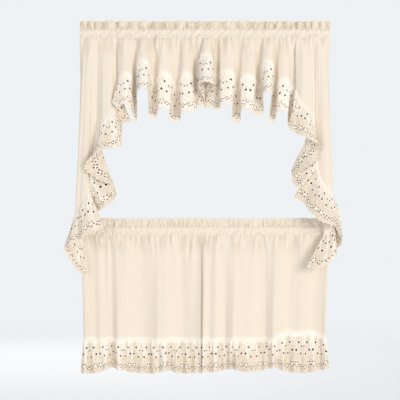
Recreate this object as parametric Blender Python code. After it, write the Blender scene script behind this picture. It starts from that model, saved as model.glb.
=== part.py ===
# Eyelet curtain set as it hangs at a window: on the upper rod a pair of tailed swags with a
# short valance between them, on the lower rod a pair of tiers. Each curtain is a gathered
# heading with a rod pocket, a plain panel, and an eyelet ruffle sewn round its lower edge.
#
# The tables below are in millimetres. "x" runs across, to the right as seen from the room,
# "out" runs from the upper rod's middle into the room, and "drop" runs down from that rod.
# The model is in metres, +Z up, with the room on the -Y side.

import bpy
import numpy as np
from collections import namedtuple

# Driving dimensions
CLOTH = 1.2
SEAM_GAP = 0.4
SIDE_ROOM = 1.0
LOWER_ROD_OUT = -62.0
LOWER_ROD_DROP = 765.0
TIER_SEAM_DROP = 1188.0
FOLD_EASE = 0.55

# Rod pocket and the ruffled header over it
HEADER_HEIGHT = 54.0
HEADER_NOTCH = 7.0
HEADER_WAVE = 6.0
HEADER_LAYERS = 2.4
HEADER_STITCH = 17.4
POCKET_HALF_DEPTH = 7.0
POCKET_PUFF = 4.0
POCKET_TOP = 13.6
POCKET_BOTTOM = -12.2
POCKET_ROOF = 13.2
POCKET_WALL = 1.4
POCKET_FOOT = 16.0
OUTER_POINTS = 10
INNER_POINTS = 4

# Each puff of a heading has a few columns, and differs from its neighbours in size and lean
PUFF_STEPS = 3
PUFF_MINIMUM = 12.0
PUFF_UNEVEN = 0.25
PUFF_UNEVEN_RATE = 2.3
PUFF_LEAN = 0.6
PUFF_LEAN_RATE = 1.7

# Ruffle: its levels from seam to hem, and the largest eyelet of each repeat
RUFFLE_LEVELS = (0.0, 0.2, 0.38, 0.56, 0.78, 1.0)
EYELET_LEVEL = 2
EYELET_REPEAT = 45.0
EYELET_WIDTH = 5.2
EYELET_SIDES = 6
EYELET_ROOM = 4.8
EYELET_FLAT = 0.95
RUFFLE_BULGE = 5.0
LONG_STEP = 24.0
SHARP_ANGLE = 50.0

# The plain panels' levels, from pocket to seam
VALANCE_LEVELS = (0.0, 0.35, 0.7, 1.0)
SWAG_LEVELS = (0.0, 0.12, 0.3, 0.5, 0.7, 0.85, 1.0)
TIER_LEVELS = (0.0, 0.15, 0.45, 0.8, 1.0)

CREAM = (0.93, 0.85, 0.72, 1.0)
CREAM_RUFFLE = (0.95, 0.88, 0.77, 1.0)

# Gathers of the headings: where the cloth is drawn in, from left to right
UPPER_NOTCHES = (-454, -428, -394, -294, -255, -209, -165, -116, -73, -37, 10, 70, 124, 180, 232, 267,
                 302, 387, 410, 441)
LOWER_NOTCHES = (-452, -419, -368, -325, -286, -252, -224, -186, -148, -105, -70, -50, 23, 54, 93, 128,
                 170, 225, 252, 321, 352, 414, 452)

# Folds of the valance, as they pass its seam and its hem. A fold with a half width is
# rounded: it has a shoulder on each side of its crest.
Fold = namedtuple("Fold", "seam_x seam_half seam_out seam_drop hem_x hem_half hem_out hem_drop")
VALANCE_FOLDS = (
    Fold(-336, 0, 4, 180, -360, 0, 18, 267),
    Fold(-306, 22, 16, 152, -314, 22, 34, 274),
    Fold(-269, 5, -12, 212, -269, 5, -24, 346),
    Fold(-240, 22, 24, 104, -240, 21, 65, 216),
    Fold(-194, 7, -12, 192, -203, 17, -26, 330),
    Fold(-155, 24, 16, 152, -159, 24, 34, 290),
    Fold(-108, 8, -12, 210, -118, 24, -28, 344),
    Fold(-70, 22, 16, 152, -66, 27, 34, 298),
    Fold(-35, 5, -10, 160, -34, 6, -16, 290),
    Fold(-2, 0, -4, 150, -1, 0, -14, 286),
    Fold(4, 24, 26, 84, 4, 29, 75, 192),
    Fold(7, 0, -4, 150, 5, 0, -14, 286),
    Fold(47, 5, -10, 168, 50, 10, -18, 300),
    Fold(86, 27, 16, 144, 80, 24, 34, 272),
    Fold(126, 8, -12, 212, 122, 17, -28, 347),
    Fold(166, 27, 16, 160, 161, 24, 34, 294),
    Fold(209, 7, -12, 202, 206, 23, -24, 318),
    Fold(242, 22, 24, 108, 240, 17, 65, 226),
    Fold(272, 5, -12, 210, 261, 13, -24, 345),
    Fold(305, 22, 16, 174, 297, 22, 34, 298),
    Fold(332, 0, -12, 206, 321, 0, -26, 344),
    Fold(359, 0, -15, 206, 350, 0, -26, 332),
)
VALANCE_ENDS = (-339.6, 350.0)
SHOULDER = 0.7
SEAM_FALL = 7.0
HEM_FALL = 13.0

# The swags: each row follows one line of the cloth from the pocket to the hem. Where the
# ruffle folds over itself, a turn is the point that the line passes halfway down it.
SwagRow = namedtuple("SwagRow", "top_x seam_x seam_out seam_drop hem_x hem_out hem_drop")
Turn = namedtuple("Turn", "top_x x out drop")
LEFT_SWAG = (
    SwagRow(-484, -486, -36, 816, -468, -34, 955),
    SwagRow(-480, -497, -28, 772, -500, -24, 915),
    SwagRow(-476, -501, -18, 748, -520, -20, 888),
    SwagRow(-472, -503, -8, 726, -538, -8, 851),
    SwagRow(-468, -503, 4, 708, -546, 12, 832),
    SwagRow(-464, -496, 8, 694, -515, 34, 818),
    SwagRow(-459, -486, 8, 676, -492, 26, 803),
    SwagRow(-454, -474, 12, 654, -470, 46, 788),
    SwagRow(-449, -461, 12, 630, -437, 44, 770),
    SwagRow(-445, -451, 10, 610, -391, 30, 743),
    SwagRow(-441, -447, 4, 592, -424, -14, 692),
    SwagRow(-437, -446, 6, 573, -402, 4, 681),
    SwagRow(-433, -444, 6, 548, -375, 14, 666),
    SwagRow(-429, -441, 4, 519, -344, 6, 623),
    SwagRow(-427, -439, 3, 498, -354, -8, 592),
    SwagRow(-425, -437, 2, 476, -414, 32, 565),
    SwagRow(-421, -432, 0, 440, -468, 28, 519),
    SwagRow(-416, -424, -4, 398, -462, 36, 505),
    SwagRow(-409, -413, 2, 354, -441, 42, 480),
    SwagRow(-392, -391, 18, 330, -402, 50, 457),
    SwagRow(-378, -375, 18, 321, -360, 44, 445),
    SwagRow(-365, -362, 12, 306, -322, 26, 433),
    SwagRow(-358, -357, 6, 286, -321, 10, 392),
    SwagRow(-352, -352, -2, 262, -322, -34, 350),
    SwagRow(-347, -342, -9, 238, -286, -36, 335),
    SwagRow(-341, -327, -17, 218, -300, -30, 322),
)
LEFT_TURNS = (
    Turn(-409, -408, 34, 415),
    Turn(-416, -402, 22, 440),
    Turn(-429, -368, -8, 584),
    Turn(-427, -372, -12, 550),
    Turn(-425, -376, -12, 519),
    Turn(-421, -398, -6, 462),
)
LEFT_SWAG_ENDS = (-484.0, -340.2)
RIGHT_SWAG = (
    SwagRow(352, 352, 0, 209, 331, 10, 341),
    SwagRow(357, 356, 4, 224, 320, 22, 360),
    SwagRow(365, 364, 10, 248, 348, 34, 388),
    SwagRow(379, 379, 16, 270, 379, 46, 400),
    SwagRow(400, 402, 16, 294, 412, 48, 416),
    SwagRow(418, 420, 2, 314, 445, 34, 438),
    SwagRow(426, 428, 0, 345, 440, 10, 470),
    SwagRow(430, 431, 4, 385, 414, 30, 503),
    SwagRow(434, 433, 4, 425, 379, 28, 526),
    SwagRow(438, 435, 4, 460, 344, 20, 540),
    SwagRow(440, 437, 6, 488, 334, -4, 572),
    SwagRow(442, 438, 8, 502, 358, 14, 600),
    SwagRow(444, 440, 4, 515, 343, -4, 634),
    SwagRow(446, 442, 6, 530, 378, 4, 654),
    SwagRow(448, 446, 8, 550, 400, 24, 686),
    SwagRow(452, 456, 12, 575, 441, 44, 724),
    SwagRow(456, 472, 14, 594, 478, 46, 738),
    SwagRow(460, 486, 8, 606, 497, 34, 745),
    SwagRow(463, 495, 2, 628, 506, -4, 752),
    SwagRow(466, 500, -2, 668, 530, 2, 808),
    SwagRow(469, 500, -10, 692, 512, -14, 828),
    SwagRow(472, 497, -18, 712, 488, -30, 812),
    SwagRow(475, 492, -22, 726, 508, -10, 858),
    SwagRow(478, 484, -24, 750, 476, -2, 890),
    SwagRow(481, 474, -26, 765, 434, 2, 909),
    SwagRow(484, 462, -28, 776, 392, -6, 904),
)
RIGHT_TURNS = (
    Turn(418, 412, 30, 370),
    Turn(426, 394, 8, 396),
    Turn(430, 384, -4, 425),
    Turn(434, 356, -8, 478),
    Turn(438, 345, -2, 515),
    Turn(463, 510, 16, 690),
    Turn(466, 524, 6, 736),
    Turn(469, 520, -10, 758),
    Turn(472, 508, -20, 766),
    Turn(475, 508, -6, 790),
    Turn(478, 496, 0, 816),
)
RIGHT_SWAG_ENDS = (350.6, 484.0)

# The tiers: soft folds of the panel, a seam that runs nearly level, and the ruffle's own
# closer folds. Their depths are from the lower rod's middle.
PanelFold = namedtuple("PanelFold", "x out")
SeamLevel = namedtuple("SeamLevel", "x drop")
RuffleFold = namedtuple("RuffleFold", "seam_x hem_x out hem_drop")
LEFT_TIER_FOLDS = (
    PanelFold(-482, 0), PanelFold(-464, 8), PanelFold(-445, -6), PanelFold(-410, 5),
    PanelFold(-375, -8), PanelFold(-333, 8), PanelFold(-279, -3), PanelFold(-248, -7),
    PanelFold(-217, -3), PanelFold(-170, 9), PanelFold(-120, -4), PanelFold(-89, -7),
    PanelFold(-62, -3), PanelFold(-35, 6), PanelFold(-17, 0),
)
LEFT_TIER_SEAM = (SeamLevel(-474, TIER_SEAM_DROP), SeamLevel(-19, TIER_SEAM_DROP))
LEFT_TIER_RUFFLE = (
    RuffleFold(-474, -486, 4, 1320), RuffleFold(-464, -466, 14, 1322),
    RuffleFold(-452, -452, -8, 1322), RuffleFold(-430, -430, 14, 1322),
    RuffleFold(-406, -406, -8, 1316), RuffleFold(-386, -386, 10, 1307),
    RuffleFold(-364, -364, -14, 1300), RuffleFold(-337, -337, 14, 1308),
    RuffleFold(-308, -308, -10, 1314), RuffleFold(-290, -290, 8, 1318),
    RuffleFold(-275, -275, -10, 1320), RuffleFold(-246, -246, 12, 1322),
    RuffleFold(-217, -217, -12, 1324), RuffleFold(-200, -200, 10, 1323),
    RuffleFold(-182, -182, -10, 1320), RuffleFold(-159, -159, 12, 1312),
    RuffleFold(-135, -135, -14, 1312), RuffleFold(-108, -108, 14, 1322),
    RuffleFold(-87, -87, -8, 1324), RuffleFold(-72, -72, 12, 1324),
    RuffleFold(-54, -54, -10, 1322), RuffleFold(-39, -39, 8, 1321),
    RuffleFold(-27, -27, -4, 1320), RuffleFold(-19, -17, 2, 1319),
)
LEFT_TIER_ENDS = (-484.0, -15.4)
RIGHT_TIER_FOLDS = (
    PanelFold(-13, 0), PanelFold(-2, 7), PanelFold(19, -4), PanelFold(43, 2),
    PanelFold(70, -7), PanelFold(112, 9), PanelFold(151, -6), PanelFold(190, 1),
    PanelFold(228, -8), PanelFold(271, 9), PanelFold(329, -6), PanelFold(379, 0),
    PanelFold(418, -4), PanelFold(439, -9), PanelFold(464, 7), PanelFold(478, 2),
)
RIGHT_TIER_SEAM = (
    SeamLevel(-13, 1188), SeamLevel(271, 1188), SeamLevel(300, 1166), SeamLevel(330, 1161),
    SeamLevel(430, 1161), SeamLevel(455, 1174), SeamLevel(470, 1180),
)
RIGHT_TIER_RUFFLE = (
    RuffleFold(-13, -14, 2, 1319), RuffleFold(-4, -5, 8, 1320),
    RuffleFold(15, 15, -8, 1318), RuffleFold(39, 39, 12, 1318),
    RuffleFold(62, 62, -8, 1312), RuffleFold(75, 75, 6, 1309),
    RuffleFold(89, 89, -8, 1307), RuffleFold(99, 99, 6, 1306),
    RuffleFold(110, 110, -18, 1305), RuffleFold(124, 124, 10, 1311),
    RuffleFold(135, 135, -6, 1314), RuffleFold(174, 174, 14, 1318),
    RuffleFold(221, 221, -8, 1312), RuffleFold(234, 234, 6, 1309),
    RuffleFold(246, 246, -10, 1305), RuffleFold(267, 267, 8, 1301),
    RuffleFold(286, 286, -12, 1304), RuffleFold(306, 306, 12, 1312),
    RuffleFold(325, 325, -8, 1316), RuffleFold(350, 350, 14, 1320),
    RuffleFold(375, 375, -8, 1321), RuffleFold(387, 387, 8, 1322),
    RuffleFold(401, 401, -8, 1321), RuffleFold(422, 422, 12, 1317),
    RuffleFold(453, 453, -12, 1310), RuffleFold(468, 468, 10, 1307),
    RuffleFold(472, 486, 2, 1302),
)
RIGHT_TIER_ENDS = (-14.8, 484.0)

Rod = namedtuple("Rod", "out drop notches")
MM = 0.001
ACROSS, OUT, DROP = range(3)


def clear_scene():
    for thing in list(bpy.data.objects):
        bpy.data.objects.remove(thing, do_unlink=True)


def cloth_material(name, colour):
    material = bpy.data.materials.new(name)
    material.use_nodes = True
    shader = material.node_tree.nodes["Principled BSDF"]
    shader.inputs["Base Color"].default_value = colour
    shader.inputs["Roughness"].default_value = 0.9
    shader.inputs["Metallic"].default_value = 0.0
    return material


def to_world(points):
    # From across, out and drop in millimetres to metres, with the room on the -Y side.
    return np.stack([points[:, ACROSS], -points[:, OUT], -points[:, DROP]], axis=1) * MM


def slopes_at(knots, values):
    # Slopes that never let the curve overshoot its values: level at each crest and hollow.
    span = np.diff(knots)[:, None]
    rise = np.diff(values, axis=0) / span
    before, after = rise[:-1], rise[1:]
    near_after = 2 * span[1:] + span[:-1]
    near_before = span[1:] + 2 * span[:-1]
    turning = before * after <= 0
    shares = near_after / np.where(turning, 1, before) + near_before / np.where(turning, 1, after)
    inner = np.where(turning, 0, (near_after + near_before) / np.where(turning, 1, shares))
    return np.concatenate([rise[:1], inner, rise[-1:]])


def smooth(knots, values, at):
    # A soft curve through the values at the knots, read at other places.
    slopes = slopes_at(knots, values)
    cell = np.clip(np.searchsorted(knots, at, side="right") - 1, 0, len(knots) - 2)
    span = (knots[cell + 1] - knots[cell])[:, None]
    t = (at - knots[cell])[:, None] / span
    from_left = (1 + 2 * t) * (1 - t) ** 2 * values[cell] + t * (1 - t) ** 2 * span * slopes[cell]
    from_right = t * t * (3 - 2 * t) * values[cell + 1] + t * t * (t - 1) * span * slopes[cell + 1]
    return from_left + from_right


def unit(vectors):
    return vectors / np.linalg.norm(vectors, axis=-1, keepdims=True)


def plane_axes(corners, front):
    # A cell's own right and up, square to its front. Its corners go round from the upper right.
    across = corners[0] + corners[3] - corners[1] - corners[2]
    right = across - (across @ front) * front
    right = right / np.linalg.norm(right)
    return right, np.cross(front, right)


class Curtain:
    # One curtain's cloth. Its rows are lines of the cloth from the pocket's foot (top) to the
    # seam and on to the hem; knots tell how far apart the rows lie along the cloth.

    def __init__(self, top, seam, hem, turns=()):
        self.top = np.array(top, float)
        self.seam = np.array(seam, float)
        self.hem = np.array(hem, float)
        self.turn = (self.seam + self.hem) / 2
        self.turn[:, OUT] += RUFFLE_BULGE
        for turn in turns:
            row = int(np.argmin(abs(self.top[:, ACROSS] - turn.top_x)))
            self.turn[row] = (turn.x, turn.out, turn.drop)
        chords = (self.row_lengths(self.seam) + self.row_lengths(self.hem)) / 2
        self.knots = np.concatenate([[0.0], np.cumsum(chords)])

    @staticmethod
    def row_lengths(points):
        return np.linalg.norm(np.diff(points, axis=0), axis=1)

    def columns(self):
        # The knots, with more places between rows that lie far apart, and which are knots.
        places = []
        knots = [0]
        for start, end in zip(self.knots[:-1], self.knots[1:]):
            steps = max(1, int(round((end - start) / LONG_STEP)))
            places.extend(np.linspace(start, end, steps + 1)[:-1])
            knots.append(len(places))
        return np.array(places + [self.knots[-1]]), knots

    def panel_point(self, u, t):
        # The folds deepen fast below the pocket, then run down evenly to the seam.
        top = smooth(self.knots, self.top, u)
        seam = smooth(self.knots, self.seam, u)
        place = top + (seam - top) * t
        place[:, OUT] = top[:, OUT] + (seam - top)[:, OUT] * t ** FOLD_EASE
        return to_world(place)

    def ruffle_point(self, u, t):
        seam = smooth(self.knots, self.seam, u)
        turn = smooth(self.knots, self.turn, u)
        hem = smooth(self.knots, self.hem, u)
        bow = 2 * turn - (seam + hem) / 2
        return to_world((1 - t) ** 2 * seam + 2 * t * (1 - t) * bow + t * t * hem)

    def grid(self, panel_levels):
        # The whole cloth on one grid, and the way out of its front face at each point.
        u, knots = self.columns()
        rows = [self.panel_point(u, level) for level in panel_levels]
        rows += [self.ruffle_point(u, level) for level in RUFFLE_LEVELS[1:]]
        points = np.array(rows)
        return points, grid_fronts(points), knots


def grid_fronts(points):
    # Each point's front is the mean of the cells round it.
    down_right = points[1:, 1:] - points[:-1, :-1]
    down_left = points[1:, :-1] - points[:-1, 1:]
    cells = unit(np.cross(down_left, down_right))
    fronts = np.zeros_like(points)
    for row in (0, 1):
        for column in (0, 1):
            height, width = cells.shape[:2]
            fronts[row:row + height, column:column + width] += cells
    return unit(fronts)


def away_from_seam(seam, fronts):
    # Square to the seam in the cloth, towards the ruffle.
    return unit(np.cross(np.gradient(seam, axis=0), fronts))


class Sheet:
    # The front of one cloth, built row by row, then given its thickness.

    def __init__(self):
        self.points = []
        self.fronts = []
        self.faces = []

    def add(self, points, fronts):
        start = len(self.points)
        self.points.extend(points)
        self.fronts.extend(fronts)
        return list(range(start, start + len(points)))

    def join(self, upper, upper_columns, lower, lower_columns):
        # Triangles between two rows, whose columns need not be the same.
        i = 0
        j = 0
        while i < len(upper) - 1 or j < len(lower) - 1:
            lower_next = lower_columns[j + 1] if j < len(lower) - 1 else np.inf
            upper_next = upper_columns[i + 1] if i < len(upper) - 1 else np.inf
            if lower_next == upper_next:
                self.split_cell(upper[i], lower[j], lower[j + 1], upper[i + 1])
                i += 1
                j += 1
            elif lower_next < upper_next:
                self.faces.append((upper[i], lower[j], lower[j + 1]))
                j += 1
            else:
                self.faces.append((upper[i], lower[j], upper[i + 1]))
                i += 1

    def split_cell(self, a, b, c, d):
        # Two triangles, split along the cell's shorter diagonal.
        if self.length(a, c) <= self.length(b, d):
            self.faces += [(a, b, c), (a, c, d)]
        else:
            self.faces += [(a, b, d), (b, c, d)]

    def length(self, start, end):
        return np.linalg.norm(self.points[end] - self.points[start])

    def cut_eyelet(self, corners, centre, front):
        # A cell with a round hole. Its corners go round from the upper right one.
        points = np.array([self.points[index] for index in corners])
        right, up = plane_axes(points, front)
        around = np.arange(EYELET_SIDES) * 2 * np.pi / EYELET_SIDES
        spokes = np.outer(np.cos(around), right) + np.outer(np.sin(around), up)
        rim = self.add(centre + EYELET_WIDTH / 2 * MM * spokes, [front] * EYELET_SIDES)
        corner_angles = np.arctan2((points - centre) @ up, (points - centre) @ right) % (2 * np.pi)
        turns = [(angle, "rim", index) for angle, index in zip(around, rim)]
        turns += [(angle, "corner", index) for angle, index in zip(corner_angles, corners)]
        turns.sort()
        inner = rim[-1]
        outer = corners[-1]
        for _, kind, index in turns:
            self.faces.append((outer, index, inner))
            if kind == "rim":
                inner = index
            else:
                outer = index

    def solid(self):
        # Front and back lie half the thickness to each side, with a wall along every edge.
        points = np.array(self.points)
        shift = np.array(self.fronts) * CLOTH / 2 * MM
        count = len(points)
        back = [tuple(count + index for index in reversed(face)) for face in self.faces]
        faces = self.faces + back
        for start, end in self.open_edges():
            if start < end:
                faces += [(end, start, count + end), (start, count + start, count + end)]
            else:
                faces += [(end, start, count + start), (end, count + start, count + end)]
        return np.concatenate([points + shift, points - shift]), faces

    def open_edges(self):
        edges = set()
        for a, b, c in self.faces:
            edges |= {(a, b), (b, c), (c, a)}
        return sorted(edge for edge in edges if edge[::-1] not in edges)


def make_object(name, vertices, faces, colour):
    mesh = bpy.data.meshes.new(name)
    mesh.from_pydata([tuple(vertex) for vertex in vertices], [], faces)
    mesh.shade_smooth()
    mesh.set_sharp_from_angle(angle=np.radians(SHARP_ANGLE))
    mesh.materials.append(cloth_material(name + "_cloth", colour))
    thing = bpy.data.objects.new(name, mesh)
    bpy.context.scene.collection.objects.link(thing)
    return thing


def make_panel(name, points, fronts, knots):
    # Only the seam has all the columns of the ruffle; above it the panel has one for each
    # row of the table.
    sheet = Sheet()
    everywhere = list(range(points.shape[1]))
    points[0, :, 2] -= SEAM_GAP / 2 * MM
    fronts[0] = unit(fronts[0] * (1, 1, 0))
    points[-1] -= away_from_seam(points[-1], fronts[-1]) * SEAM_GAP / 2 * MM
    upper = sheet.add(points[0, knots], fronts[0, knots])
    for level in range(1, len(points) - 1):
        row = sheet.add(points[level, knots], fronts[level, knots])
        sheet.join(upper, knots, row, knots)
        upper = row
    sheet.join(upper, knots, sheet.add(points[-1], fronts[-1]), everywhere)
    return make_object(name, *sheet.solid(), CREAM)


def eyelet_room(corners, centre, front):
    # How near the centre lies to the sides of its cell, seen square to the cloth.
    right, up = plane_axes(corners, front)
    flat = np.stack([(corners - centre) @ right, (corners - centre) @ up], axis=1) / MM
    side = np.roll(flat, -1, axis=0) - flat
    return np.min((flat[:, 0] * side[:, 1] - flat[:, 1] * side[:, 0]) / np.linalg.norm(side, axis=1))


def eyelet_cells(corners, fronts):
    # One eyelet for each repeat along the cloth, in the first cell of the repeat that is flat
    # and wide enough for it. Returns each chosen cell's centre and front.
    middles = corners.mean(axis=1)
    reach = np.cumsum(np.linalg.norm(corners[:, 0] - corners[:, 1], axis=1)) / MM
    cells = {}
    filled = set()
    for cell, (points, directions) in enumerate(zip(corners, fronts)):
        repeat = int(reach[cell] / EYELET_REPEAT)
        front = unit(directions.mean(axis=0, keepdims=True))[0]
        flat = np.min(directions @ front) > EYELET_FLAT
        if repeat not in filled and flat and eyelet_room(points, middles[cell], front) > EYELET_ROOM:
            cells[cell] = (middles[cell], front)
            filled.add(repeat)
    return cells


def make_ruffle(name, points, fronts):
    sheet = Sheet()
    everywhere = list(range(points.shape[1]))
    points[0] += away_from_seam(points[0], fronts[0]) * SEAM_GAP / 2 * MM
    upper = sheet.add(points[0], fronts[0])
    for level in range(1, len(points)):
        lower = sheet.add(points[level], fronts[level])
        if level - 1 == EYELET_LEVEL:
            join_eyelet_strip(sheet, upper, lower)
        else:
            sheet.join(upper, everywhere, lower, everywhere)
        upper = lower
    return make_object(name, *sheet.solid(), CREAM_RUFFLE)


def join_eyelet_strip(sheet, upper, lower):
    corners = np.stack([upper[1:], upper[:-1], lower[:-1], lower[1:]], axis=1)
    cells = eyelet_cells(np.array(sheet.points)[corners], np.array(sheet.fronts)[corners])
    for cell in range(len(upper) - 1):
        if cell in cells:
            sheet.cut_eyelet(list(corners[cell]), *cells[cell])
        else:
            sheet.join(upper[cell:cell + 2], (0, 1), lower[cell:cell + 2], (0, 1))


def heading_columns(ends, notches):
    # Each gather of the heading is a puff between two notches; wave is 0 in a notch and 1 on
    # a puff, and sway leans one puff into the room and the next towards the wall.
    inner = [notch for notch in notches if ends[0] + PUFF_MINIMUM < notch < ends[1] - PUFF_MINIMUM]
    borders = np.array([ends[0]] + inner + [ends[1]], float)
    x = [np.linspace(a, b, PUFF_STEPS + 1)[:-1] for a, b in zip(borders[:-1], borders[1:])]
    x = np.append(np.concatenate(x), borders[-1])
    phase = np.arange(len(x)) / PUFF_STEPS
    wave = abs(np.sin(np.pi * phase))
    sway = np.sin(np.pi * phase + PUFF_LEAN * np.sin(PUFF_LEAN_RATE * phase))
    uneven = 1 - PUFF_UNEVEN * (1 + np.sin(PUFF_UNEVEN_RATE * phase))
    return x, wave * uneven, sway * uneven


def heading_sections(x, wave, sway):
    # Outer points run down the front from the header's edge and up the back; inner points
    # bound the rod pocket.
    top = HEADER_HEIGHT - HEADER_NOTCH * (1 - wave)
    half_layer = HEADER_LAYERS / 2
    lean = HEADER_WAVE * sway
    front = POCKET_HALF_DEPTH + POCKET_PUFF * wave
    back = -POCKET_HALF_DEPTH
    foot = -POCKET_FOOT + SEAM_GAP / 2
    still = np.zeros_like(x)
    outer = [(lean + half_layer, top), (still + half_layer, still + HEADER_STITCH),
             (front, still + POCKET_TOP), (front, still + POCKET_BOTTOM),
             (still + CLOTH / 2, still + foot), (still - CLOTH / 2, still + foot),
             (still + back, still + POCKET_BOTTOM), (still + back, still + POCKET_TOP),
             (still - half_layer, still + HEADER_STITCH), (lean - half_layer, top)]
    wall = POCKET_HALF_DEPTH - POCKET_WALL
    inner = [(still + wall, still + POCKET_ROOF), (still + wall, still + POCKET_BOTTOM),
             (still - wall, still + POCKET_BOTTOM), (still - wall, still + POCKET_ROOF)]
    return np.array([np.stack([x, out, height], axis=1) for out, height in outer + inner])


def heading_faces(columns):
    # The end caps close the cloth between the outer and the inner points and leave the
    # pocket open.
    def at(column, point):
        return column * (OUTER_POINTS + INNER_POINTS) + point

    faces = []
    for column in range(columns - 1):
        for point in range(OUTER_POINTS):
            after = (point + 1) % OUTER_POINTS
            here, there = at(column, point), at(column + 1, point)
            here_after, there_after = at(column, after), at(column + 1, after)
            if point < OUTER_POINTS / 2:
                faces += [(here, here_after, there), (here_after, there_after, there)]
            else:
                faces += [(here, here_after, there_after), (here, there_after, there)]
        for point in range(INNER_POINTS):
            a = OUTER_POINTS + point
            b = OUTER_POINTS + (point + 1) % INNER_POINTS
            faces.append((at(column, a), at(column + 1, a), at(column + 1, b), at(column, b)))
    cap = [(0, 9, 8, 1), (1, 10, 2), (2, 10, 11, 3), (3, 11, 4), (4, 11, 12, 5),
           (5, 12, 6), (6, 12, 13, 7), (7, 13, 8), (8, 13, 10, 1)]
    faces += [tuple(at(0, point) for point in face) for face in cap]
    faces += [tuple(at(columns - 1, point) for point in reversed(face)) for face in cap]
    return faces


def make_heading(name, ends, rod):
    x, wave, sway = heading_columns(ends, rod.notches)
    sections = heading_sections(x, wave, sway).transpose(1, 0, 2).reshape(-1, 3)
    sections[:, OUT] += rod.out
    sections[:, DROP] = rod.drop - sections[:, DROP]
    return make_object(name, to_world(sections), heading_faces(len(x)), CREAM)


def valance_top(seam, held):
    # Each rounded fold hangs straight down from the pocket, and the cloth between two folds is
    # spread evenly over the pocket between them.
    steps = [np.hypot(after[ACROSS] - before[ACROSS], after[OUT] - before[OUT])
             for before, after in zip(seam[:-1], seam[1:])]
    reach = np.concatenate([[0.0], np.cumsum(steps)])
    held_x = [VALANCE_ENDS[0] + SIDE_ROOM] + [seam[row][ACROSS] for row in held]
    held_x.append(VALANCE_ENDS[1] - SIDE_ROOM)
    across = np.interp(reach, reach[[0] + held + [-1]], held_x)
    return [(x, 0, POCKET_FOOT) for x in across]


def valance_cloth():
    seam = []
    hem = []
    held = []
    for fold in VALANCE_FOLDS:
        if fold.seam_half:
            held.append(len(seam) + 1)
        sides = ((-1, SHOULDER), (0, 1.0), (1, SHOULDER)) if fold.seam_half else ((0, 1.0),)
        for side, depth in sides:
            # A front fold's shoulders lie lower than its crest, and a back fold's higher.
            fall = abs(side) * np.sign(fold.seam_out)
            seam.append((fold.seam_x + side * fold.seam_half, fold.seam_out * depth,
                         fold.seam_drop + fall * SEAM_FALL))
            hem.append((fold.hem_x + side * fold.hem_half, fold.hem_out * depth,
                        fold.hem_drop + fall * HEM_FALL))
    return Curtain(valance_top(seam, held), seam, hem)


def swag_cloth(rows, turns):
    top = [(row.top_x, 0, POCKET_FOOT) for row in rows]
    seam = [(row.seam_x, row.seam_out, row.seam_drop) for row in rows]
    hem = [(row.hem_x, row.hem_out, row.hem_drop) for row in rows]
    return Curtain(top, seam, hem, turns)


def tier_cloth(ends, folds, levels, ruffle):
    seam_x = np.array([row.seam_x for row in ruffle], float)
    fold_x = np.array([fold.x for fold in folds], float)
    fold_out = np.array([[fold.out] for fold in folds], float)
    depth = smooth(fold_x, fold_out, seam_x)[:, 0]
    drop = np.interp(seam_x, [level.x for level in levels], [level.drop for level in levels])
    top_x = np.interp(seam_x, [seam_x[0], seam_x[-1]], [ends[0] + SIDE_ROOM, ends[1] - SIDE_ROOM])
    rod = np.full_like(seam_x, LOWER_ROD_OUT)
    top = np.stack([top_x, rod, rod * 0 + LOWER_ROD_DROP + POCKET_FOOT], axis=1)
    seam = np.stack([seam_x, rod + depth, drop], axis=1)
    hem = np.stack([[row.hem_x for row in ruffle], rod + depth / 2 + [row.out for row in ruffle],
                    [row.hem_drop for row in ruffle]], axis=1)
    return Curtain(top, seam, hem)


def make_curtain(name, curtain, levels, ends, rod):
    make_heading(name + "_heading", ends, rod)
    points, fronts, knots = curtain.grid(levels)
    seam = len(levels) - 1
    make_panel(name + "_panel", points[:seam + 1].copy(), fronts[:seam + 1].copy(), knots)
    make_ruffle(name + "_ruffle", points[seam:].copy(), fronts[seam:].copy())


def main():
    clear_scene()
    upper = Rod(0.0, 0.0, UPPER_NOTCHES)
    lower = Rod(LOWER_ROD_OUT, LOWER_ROD_DROP, LOWER_NOTCHES)
    make_curtain("swag_left", swag_cloth(LEFT_SWAG, LEFT_TURNS), SWAG_LEVELS, LEFT_SWAG_ENDS, upper)
    make_curtain("valance", valance_cloth(), VALANCE_LEVELS, VALANCE_ENDS, upper)
    make_curtain("swag_right", swag_cloth(RIGHT_SWAG, RIGHT_TURNS), SWAG_LEVELS, RIGHT_SWAG_ENDS, upper)
    left_tier = tier_cloth(LEFT_TIER_ENDS, LEFT_TIER_FOLDS, LEFT_TIER_SEAM, LEFT_TIER_RUFFLE)
    make_curtain("tier_left", left_tier, TIER_LEVELS, LEFT_TIER_ENDS, lower)
    right_tier = tier_cloth(RIGHT_TIER_ENDS, RIGHT_TIER_FOLDS, RIGHT_TIER_SEAM, RIGHT_TIER_RUFFLE)
    make_curtain("tier_right", right_tier, TIER_LEVELS, RIGHT_TIER_ENDS, lower)


main()
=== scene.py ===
# Eyelet curtain set: tailed swags and a valance on the upper rod, a pair of tiers on the lower
# one. The cloth is thin sheets on the solids' own folds, with the fine gathers, the header's
# puffs and the cut, stitched eyelets added. Sizes are in millimetres until the mesh is made.
import math
import bpy
import numpy as np
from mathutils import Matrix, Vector
from mathutils.geometry import delaunay_2d_cdt


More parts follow.
